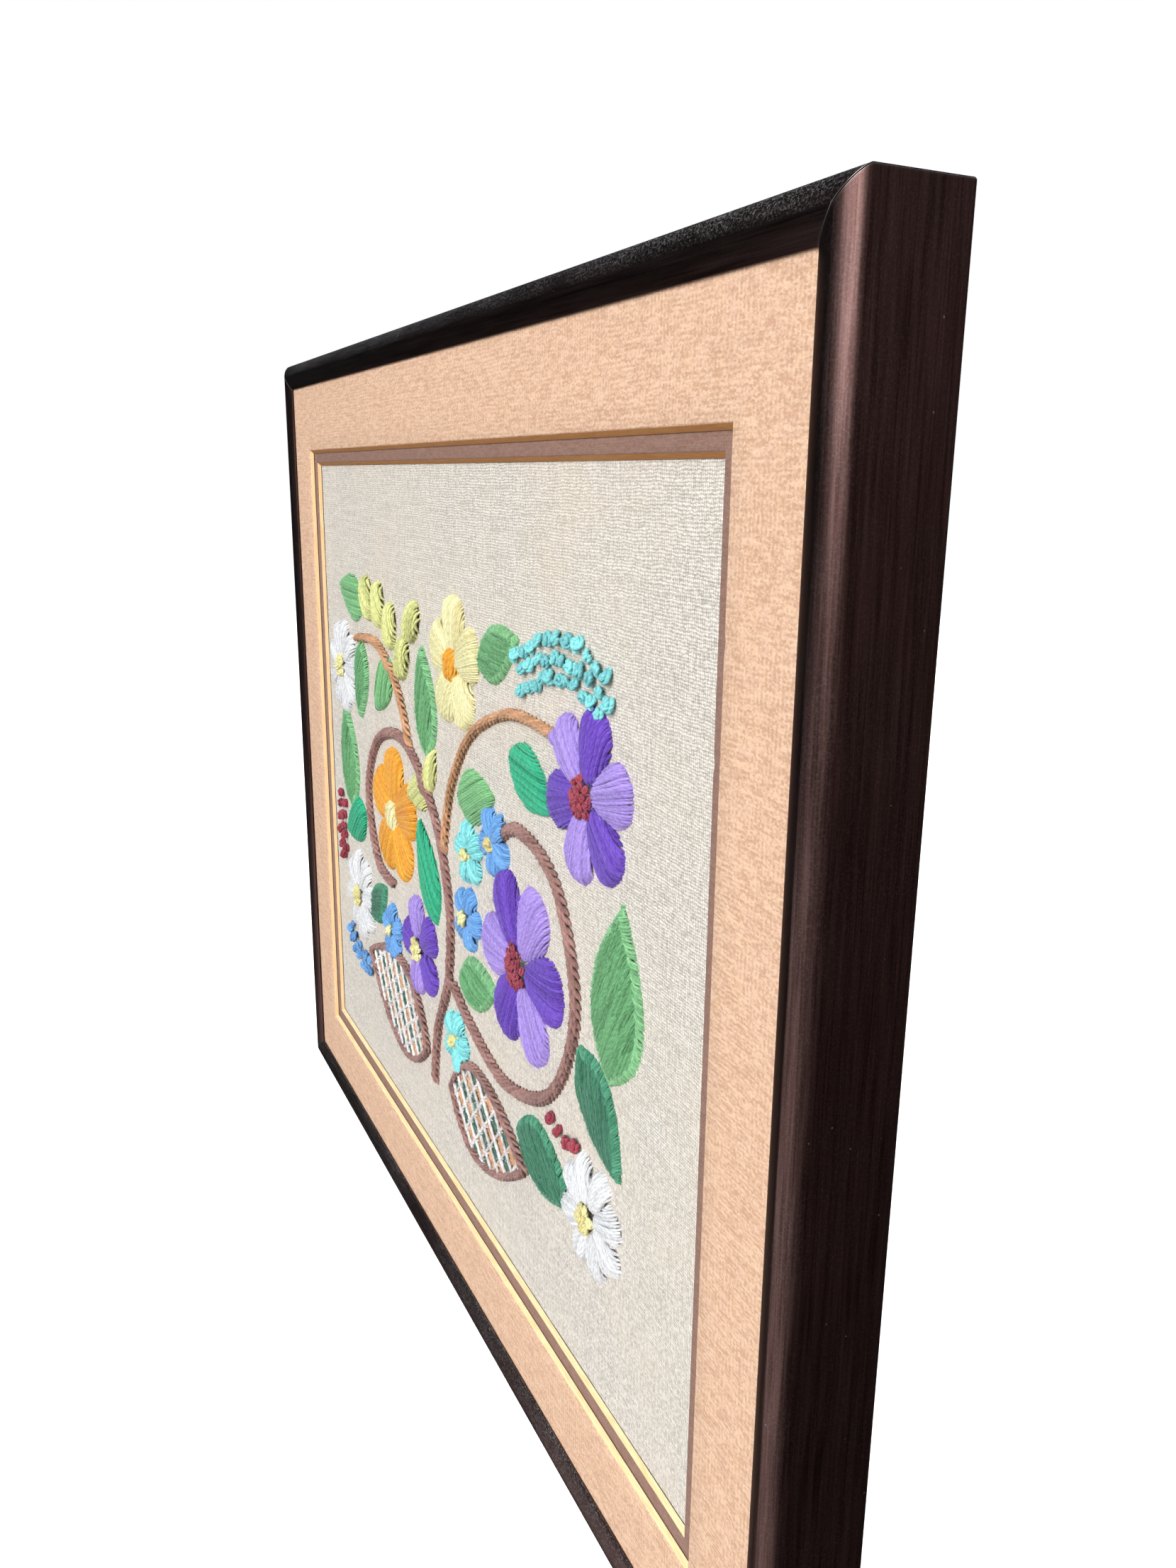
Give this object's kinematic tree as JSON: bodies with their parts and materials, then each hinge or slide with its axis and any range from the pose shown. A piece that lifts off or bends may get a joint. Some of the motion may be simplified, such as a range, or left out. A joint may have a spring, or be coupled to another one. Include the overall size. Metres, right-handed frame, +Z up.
{
  "type": "framed crewel embroidery panel",
  "caption": "Floral crewel embroidery in wool on stretched cloth, behind two bevel-cut window mats, in a slim mitred metal frame.",
  "frame": {"origin": "under the middle of the panel, on the surface it stands on", "axes": "+X across the panel to the viewer's right, +Y into the panel from its front, +Z up"},
  "size_m": [0.3688, 0.0222, 0.3046],
  "materials": {
    "bronze_frame": "satin dark bronze anodised",
    "peach_mat": "matt textured peach paper, cream core",
    "mauve_mat": "matt mauve-brown paper, cream core",
    "ground_cloth": "ivory plain weave",
    "wool_yarn": "woolly yarn in many colours",
    "backing_card": "plain grey-brown card"
  },
  "bodies": {
    "root": {"rail_bottom": "bronze_frame", "rail_left": "bronze_frame", "rail_top": "bronze_frame", "rail_right": "bronze_frame", "outer_mat": "peach_mat", "inner_mat": "mauve_mat", "ground_cloth": "ground_cloth", "backing_board": "backing_card"}
  },
  "joints": []
}
